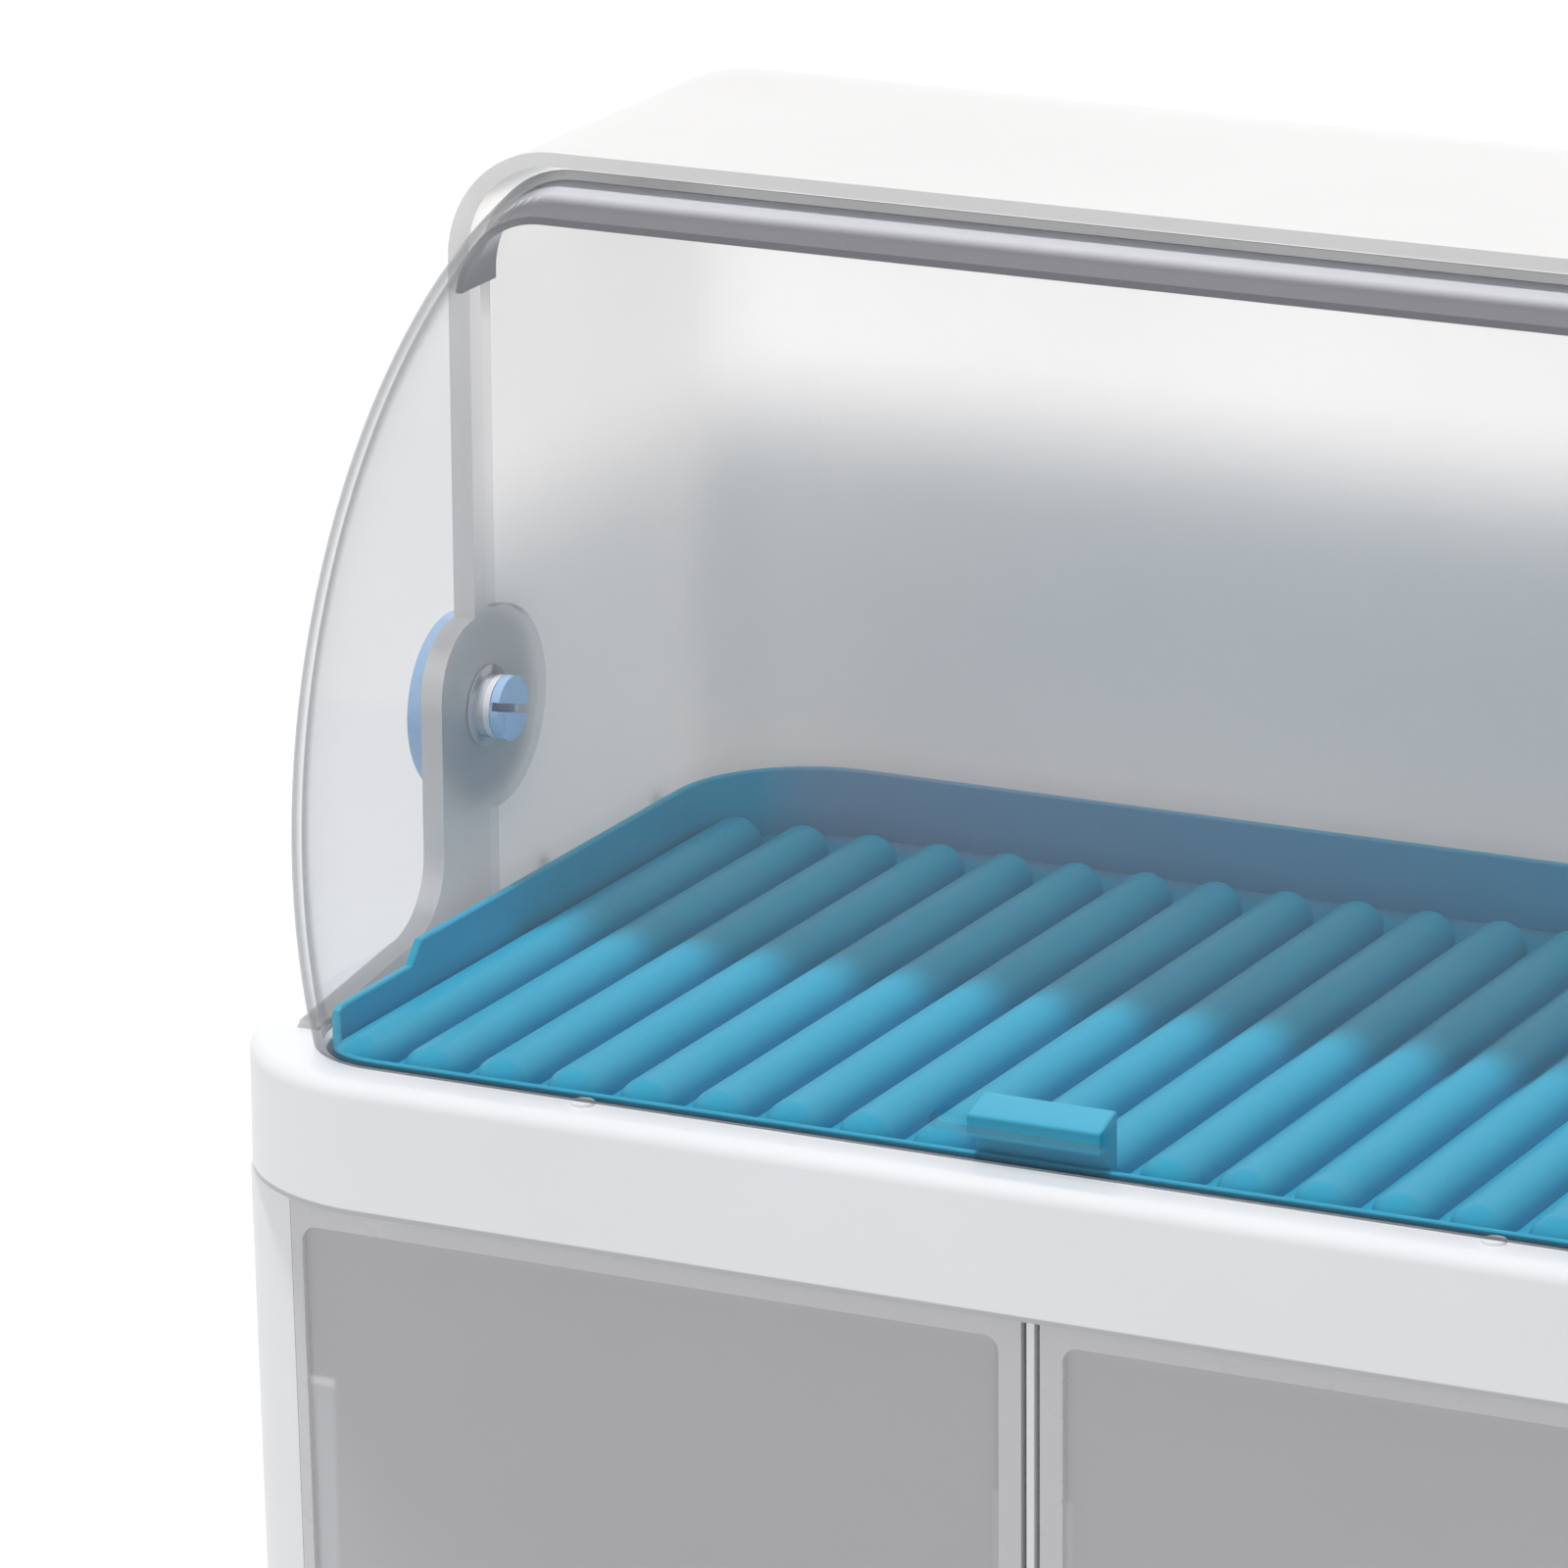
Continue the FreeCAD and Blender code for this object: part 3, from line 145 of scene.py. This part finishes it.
def plastic(name, color, rough=0.35, shade=0.03, grain=0.006 * MM, grain_scale=1400.0,
            see=0.0, coat=0.0, gleam=0.5, painted=None, thin=None):
    """Moulded plastic, with a fine grain on a slow unevenness of the surface. see is how much
    light passes through, and thin(tree) may return a socket with that share from place to
    place. painted(tree, colour) may return a colour socket to use in place of the colour."""
    t = Tree(bpy.data.materials.new(name))
    cloud = t.spread(t.noise(CLOUD_SCALE, 3.0), 0.0, 1.0, *NOISE_MIDDLE)
    ground = t.mix(cloud, darker(color, 1 - shade), color)
    if painted:
        ground = painted(t, ground)
    gloss = t.uneven(rough, 0.05, SMUDGE_SCALE, 3.0)
    normal = t.bump(grain_scale, grain, normal=t.bump(WAVE_SCALE, WAVE_DEPTH, 1.0))
    body = t.add("BsdfPrincipled", {"Base Color": ground, "Roughness": gloss,
                                    "IOR": PLASTIC_IOR, "Specular IOR Level": gleam,
                                    "Coat Weight": coat, "Coat Roughness": COAT_ROUGHNESS,
                                    "Normal": normal}).outputs[0]
    if thin:
        see = thin(t)
    if see:
        glow = t.add("BsdfTranslucent", {"Color": ground, "Normal": normal}).outputs[0]
        body = t.add("MixShader", {0: see, 1: body, 2: glow}).outputs[0]
    return t.finish(body)


def metal(name, color, rough):
    t = Tree(bpy.data.materials.new(name))
    gloss = t.uneven(rough, 0.08, 900.0, 2.0, (1, 1, 12))
    normal = t.bump(2500.0, 0.004 * MM)
    body = t.add("BsdfPrincipled", {"Base Color": (*color, 1), "Metallic": 1.0,
                                    "Roughness": gloss, "Normal": normal})
    return t.finish(body.outputs[0])


LEDGE_Z = (228.5, 232.5)      # the finger ledge on the cover's front
LEDGE_SOFT = 0.2
LEDGE_END_X = (22.2, 22.6)
FOOT_SHADE_Z = (219.8, 220.4)
CUT_SHADE_Y = (-15.6, -15.2)        # the cover's cut rear edge
CUT_SHADE_END_Z = (380.0, 400.0)
HAZE_Z = (240.0, 340.0)
SLANT = (0.59, 0.82)          # Facing, from where a wall begins to look dark to fully edge on
LEAST_ACROSS = 0.15           # keeps a wall seen edge on from passing no light at all


def clear_plastic(name, passed, tint, edge_tint):
    """A clear wall. passed is the share of light that goes straight through its two faces, and
    a wall seen at a slant lets less through. It is dark where it is seen edge on. Its foot and
    its cut rear edge are darker still, with painted shade for the shaded gaps there, and the
    small finger ledge stays clear."""
    t = Tree(bpy.data.materials.new(name))
    z = t.axis("Z")
    facing = t.add("LayerWeight", {"Blend": 0.5}).outputs["Facing"]
    across = t.either(t.outside(facing), LEAST_ACROSS)
    one_face = t.math("POWER", passed, t.math("DIVIDE", 0.5, across))
    ledge = t.both(t.band(z, *LEDGE_Z, LEDGE_SOFT),
                   t.fall(t.math("ABSOLUTE", t.axis("X")), *LEDGE_END_X, smooth=False))
    edge = t.both(t.spread(facing, 0.0, 1.0, *SLANT, smooth=True), t.outside(ledge))
    cut = t.both(t.rise(t.axis("Y"), *CUT_SHADE_Y, smooth=False),
                 t.rise(z, *CUT_SHADE_END_Z, smooth=False))
    colour = t.mix(one_face, (0, 0, 0), tint)
    colour = t.mix(edge, colour, edge_tint)
    # painted shade at the cover's foot and at its cut rear edge
    colour = t.mix(t.fall(z, *FOOT_SHADE_Z), colour, darker(edge_tint, 0.85))
    colour = t.mix(cut, colour, darker(edge_tint, 0.62))
    through = t.add("BsdfTransparent", {"Color": colour}).outputs[0]
    gloss = t.uneven(0.07, 0.02, 40.0, 2.0)
    shine = t.add("BsdfGlossy", {"Roughness": gloss, "Color": (1, 1, 1, 1)}).outputs[0]
    haze = t.blend(t.rise(z, *HAZE_Z, smooth=False), 0.018, 0.036)
    mirror = t.math("MULTIPLY_ADD", t.math("POWER", facing, 5.0), 0.5, haze)
    mirror = t.both(mirror, t.spread(ledge, 1.0, 0.25))
    return t.finish(t.add("MixShader", {0: mirror, 1: through, 2: shine}).outputs[0])


WHITE = (0.855, 0.864, 0.89)
SHELL = (0.878, 0.868, 0.862)
BORDER = (0.71, 0.712, 0.735)
FROST = (0.575, 0.575, 0.595)

# Painted light on the frosted panel: lighter bands over the flanges behind it, and a painted
# highlight on the outer flange's top.
PAINTED_FLANGE_LIGHT = (0.72, 0.73, 0.76)
FLANGE_CAP_HIGHLIGHT = (0.92, 0.92, 0.94)
FLANGE_TOP_Z = (133.6, 135.2)
FLANGE_FOOT_Z = (16.8, 18.8)
OUTER_FLANGE_X = (192.6, 204.0)
INNER_FLANGE_X = (0.0, 10.4)
FLANGE_SOFT = 0.9
CAP_Z = (132.4, 134.6)
CAP_SOFT = 0.7


def window_painted_light(t, ground):
    """The frosted panel is painted lighter where the drawer box's flanges touch it from
    behind, as painted light in place of the light they send back through it, and the outer
    flange's top carries a painted highlight.
    """
    x = t.math("ABSOLUTE", t.axis("X"))
    z = t.axis("Z")
    outer = t.band(x, *OUTER_FLANGE_X, FLANGE_SOFT)
    inner = t.band(x, *INNER_FLANGE_X, FLANGE_SOFT)
    sides = t.both(t.either(outer, inner), t.fall(z, *FLANGE_TOP_Z))
    flange = t.either(sides, t.fall(z, *FLANGE_FOOT_Z))
    # painted highlight along the outer flange's top
    cap = t.both(outer, t.band(z, *CAP_Z, CAP_SOFT))
    shown = t.mix(t.both(flange, 0.55), ground, PAINTED_FLANGE_LIGHT)
    return t.mix(t.both(cap, 0.6), shown, FLANGE_CAP_HIGHLIGHT)


# Painted shade: the strip's front and legs are darkened as if in shadow.
STRIP_PAINTED_SHADE = (0.19, 0.185, 0.205)
STRIP_FRONT_Y = (-28.0, -22.0)
STRIP_LEGS_Z = (398.0, 408.0)


def strip_shade_paint(t, ground):
    """The strip is pale at the rear, and painted shade makes it dark along its front and on
    its legs.
    """
    front = t.fall(t.axis("Y"), *STRIP_FRONT_Y)
    legs = t.fall(t.axis("Z"), *STRIP_LEGS_Z)
    return t.mix(t.either(front, legs), ground, STRIP_PAINTED_SHADE)


# Painted shade: a dark line at the frame's lower edge, where its overhang shades the parts
# below.
PARTING_SHADE_Z = (185.0, 185.6)


def frame_shade_paint(t, ground):
    """A thin grey parting line runs round the frame's lower edge, darkened with painted shade
    that stands in for the shadow under the frame's overhang.
    """
    return t.mix(t.fall(t.axis("Z"), *PARTING_SHADE_Z), ground, darker(WHITE, 0.55))


TAB_TOP_HIGHLIGHT = (0.14, 0.62, 0.86)
TAB_END_X = (17.4, 17.8)
TAB_TOP_Z = (228.4, 229.6)
TAB_REAR_Y = (-116.2, -115.8)
TRAY_REAR_SHEEN = (0.28, 0.40, 0.58)
TRAY_SHEEN_Y = (100.0, 116.0)
TRAY_SHEEN_LEFT_X = (-150.0, 80.0)


def tray_light_paint(t, ground):
    """The tray's rear wall is painted greyer than its ribs, most at the left, as a painted
    sheen over it, and the lifting tab's top is painted paler as a painted highlight."""
    x = t.axis("X")
    y = t.axis("Y")
    # painted highlight: the tab's top is made paler as if lit from above
    tab = t.both(t.fall(t.math("ABSOLUTE", x), *TAB_END_X, smooth=False),
                 t.rise(t.axis("Z"), *TAB_TOP_Z))
    tab = t.both(tab, t.fall(y, *TAB_REAR_Y, smooth=False))
    ground = t.mix(t.both(tab, 0.6), ground, TAB_TOP_HIGHLIGHT)
    # painted sheen over the rear wall, strongest at the left
    left = t.blend(t.rise(x, *TRAY_SHEEN_LEFT_X, smooth=False), 0.85, 0.12)
    return t.mix(t.both(t.rise(y, *TRAY_SHEEN_Y), left), ground, TRAY_REAR_SHEEN)


PIVOT = next(j["pos_m"][1:] for j in frame["joints"] if j["name"] == "cover_hinge")
BOSS_RADIUS = (19.0, 27.0)
SHELL_REAR_Y = (90.0, 125.0)
SHELL_FRONT_Y = (0.0, 20.0)
SHELL_LOW_Z = (225.0, 275.0)
SHELL_HIGH_Z = (298.0, 346.0)
ROOF_Z = (411.0, 421.0)
FORWARD = (-0.9, -0.6)        # the normal's Y of a face that looks to the front
SEE_HIGH = 0.96
SEE_REAR, SEE_SIDES, SEE_MORE_LOW = 0.30, 0.50, 0.10
SEE_ROOF = 0.14


def shell_thin(t):
    """The shell's walls let more light through high up. The roof, the side walls' front
    faces and the round bosses of the pivots let less through, and the roof's lip none."""
    y = t.axis("Y")
    z = t.axis("Z")
    rear = t.rise(y, *SHELL_REAR_Y)
    more = t.both(t.fall(z, *SHELL_LOW_Z, smooth=False), SEE_MORE_LOW)
    low = t.math("ADD", t.spread(rear, SEE_SIDES, SEE_REAR), more)
    see = t.blend(t.rise(z, *SHELL_HIGH_Z), low, SEE_HIGH)
    roof = t.rise(z, *ROOF_Z)
    see = t.blend(roof, see, SEE_ROOF)

    normal = t.add("SeparateXYZ", {0: t.add("TexCoord").outputs["Normal"]}).outputs
    front = t.both(t.spread(normal["Y"], 1.0, 0.0, *FORWARD, smooth=True),
                   t.fall(y, *SHELL_FRONT_Y, smooth=False))
    off_y = t.math("SUBTRACT", y, PIVOT[0])
    off_z = t.math("SUBTRACT", z, PIVOT[1])
    away = t.math("SQRT", t.math("ADD", t.both(off_y, off_y), t.both(off_z, off_z)))
    boss = t.fall(away, *BOSS_RADIUS)
    lip = t.both(front, roof)
    see = t.both(see, t.outside(lip))
    wall_front = t.math("SUBTRACT", front, lip)
    return t.both(see, t.spread(t.either(wall_front, boss), 1.0, 0.3))


white = plastic("white_plastic", WHITE, 0.34, coat=0.1)
frame_white = plastic("white_frame_plastic", WHITE, 0.34, coat=0.1, painted=frame_shade_paint)
shell = plastic("white_shell_plastic", SHELL, 0.34, coat=0.1, thin=shell_thin)
border = plastic("border_plastic", BORDER, 0.30, see=0.10)
frost = plastic("frosted_plastic", FROST, 0.55, shade=0.02, grain=0.012 * MM,
                see=0.15, painted=window_painted_light)
pale = plastic("pale_plastic", (0.72, 0.73, 0.75), 0.45)
strip = plastic("strip_plastic", (0.90, 0.90, 0.93), 0.4, painted=strip_shade_paint)
hub = plastic("hub_plastic", (0.86, 0.87, 0.90), 0.45)
pin_blue = plastic("pin_plastic", (0.42, 0.64, 0.93), 0.28, coat=0.2)
tray_blue = plastic("tray_plastic", (0.018, 0.42, 0.64), 0.34, see=0.06, gleam=0.25,
                    painted=tray_light_paint)
pad = plastic("pad_rubber", WHITE, 0.5)
rubber = plastic("foot_rubber", (0.22, 0.22, 0.23), 0.75, grain=0.03 * MM, grain_scale=900.0)
steel = metal("screw_steel", (0.62, 0.62, 0.64), 0.32)
clear = clear_plastic("clear_plastic", 0.92, (0.99, 0.993, 1.0), (0.60, 0.61, 0.63))

FINISHES = (
    (white, ("lower_cabinet", "centre_divider", "left_drawer_box", "right_drawer_box",
             "left_inner_rail", "left_outer_rail", "right_inner_rail", "right_outer_rail",
             "drawer_stop_pin")),
    (frame_white, ("top_frame",)),
    (shell, ("roof_shell",)),
    (border, ("left_drawer_front_frame", "right_drawer_front_frame", "left_drawer_pull",
              "right_drawer_pull")),
    (frost, ("left_drawer_window", "right_drawer_window")),
    (pale, ("left_cutlery_insert", "right_cutlery_insert")),
    (strip, ("cover_edge_strip",)),
    (hub, ("left_pivot_bush", "right_pivot_bush")),
    (pin_blue, ("left_pivot_pin", "right_pivot_pin")),
    (tray_blue, ("draining_tray",)),
    (pad, ("cover_rest_pads",)),
    (rubber, ("foot_front_left", "foot_front_right", "foot_rear_left", "foot_rear_right")),
    (steel, ("frame_screws", "shell_screws", "left_pull_screws", "right_pull_screws")),
    (clear, ("clear_cover",)),
)
for material, names in FINISHES:
    for name in names:
        NODES[name].data.materials.clear()
        NODES[name].data.materials.append(material)
NODES["clear_cover"].visible_shadow = False


# Floor, light and camera

FLOOR_HALF = 6.0
FLOOR_TONES = ((0.80, 0.80, 0.80), (0.82, 0.82, 0.82))
FLOOR_LIFT = 0.12             # brings the lit floor up to white in the picture
LAMP_DISTANCE = 2.5           # where a lamp stands; it doesn't change the light
SENSOR_WIDTH = 36.0
LENS = 223.115
CAMERA_AZIMUTH, CAMERA_ELEVATION, CAMERA_ROLL = 26.5762, 16.5522, -0.4525
CAMERA_PLACE = (0.93166, -2.12022, 0.96820)


def plain_view(t):
    """1 for what the camera sees directly, in a shiny surface or through a clear one."""
    rays = t.add("LightPath").outputs
    seen = t.either(rays["Is Camera Ray"], rays["Is Glossy Ray"])
    return t.either(seen, rays["Is Transmission Ray"])


def make_floor():
    """A pale floor. It is white where light falls on it, and keeps the object's shadow."""
    half = FLOOR_HALF
    mesh = bpy.data.meshes.new("floor")
    mesh.from_pydata([(-half, -half, 0), (half, -half, 0), (half, half, 0), (-half, half, 0)],
                     [], [(0, 1, 2, 3)])
    floor = bpy.data.objects.new("floor", mesh)
    bpy.context.scene.collection.objects.link(floor)
    t = Tree(bpy.data.materials.new("floor_paper"))
    tone = t.mix(t.noise(3.0), *FLOOR_TONES)
    paper = t.add("BsdfDiffuse", {"Color": tone}).outputs[0]
    lift = t.add("Emission", {"Color": (1, 1, 1, 1),
                              "Strength": t.both(plain_view(t), FLOOR_LIFT)}).outputs[0]
    mesh.materials.append(t.finish(t.add("AddShader", {0: paper, 1: lift}).outputs[0]))


def make_world(light, shown):
    """Even light from all round; the camera and clear or shiny surfaces see plain white."""
    world = bpy.data.worlds.new("studio")
    bpy.context.scene.world = world
    t = Tree(world, "OutputWorld")
    level = t.spread(plain_view(t), light, shown)
    t.finish(t.add("Background", {"Color": (1, 1, 1, 1), "Strength": level}).outputs[0])


def lamp(name, toward, width, level):
    """Even light from a direction. width is the source's width in degrees, and level is how
    bright it makes a white surface that faces it, where 1 is white."""
    data = bpy.data.lights.new(name, "SUN")
    data.angle = math.radians(width)
    data.energy = level * math.pi
    made = bpy.data.objects.new(name, data)
    direction = Vector(toward).normalized()
    made.location = direction * LAMP_DISTANCE
    made.rotation_mode = "QUATERNION"
    made.rotation_quaternion = (-direction).to_track_quat("-Z", "Y")
    made.visible_glossy = False
    bpy.context.scene.collection.objects.link(made)


def make_camera():
    """The photograph's view: the azimuth is to the right of the front, and there is no
    shift."""
    azimuth = math.radians(CAMERA_AZIMUTH)
    elevation = math.radians(CAMERA_ELEVATION)
    roll = math.radians(CAMERA_ROLL)
    back = Vector((math.sin(azimuth) * math.cos(elevation),
                   -math.cos(azimuth) * math.cos(elevation), math.sin(elevation)))
    flat = Vector((math.cos(azimuth), math.sin(azimuth), 0.0))
    above = back.cross(flat)
    right = flat * math.cos(roll) + above * math.sin(roll)
    up = above * math.cos(roll) - flat * math.sin(roll)
    turn = Matrix((right, up, back)).transposed()
    data = bpy.data.cameras.new("camera")
    data.sensor_width = SENSOR_WIDTH
    data.lens = LENS
    data.clip_start = 0.05
    data.clip_end = 50.0
    camera = bpy.data.objects.new("camera", data)
    camera.matrix_world = Matrix.Translation(CAMERA_PLACE) @ turn.to_4x4()
    bpy.context.scene.collection.objects.link(camera)
    bpy.context.scene.camera = camera


make_floor()
make_world(light=0.42, shown=1.0)
lamp("key", toward=(-0.12, -0.12, 1.0), width=6.0, level=0.69)
lamp("front_fill", toward=(0.60, -1.0, 0.15), width=35.0, level=0.12)
lamp("rear_fill", toward=(-0.28, 1.0, 0.12), width=30.0, level=0.52)
make_camera()

bpy.context.scene.view_settings.view_transform = "Standard"
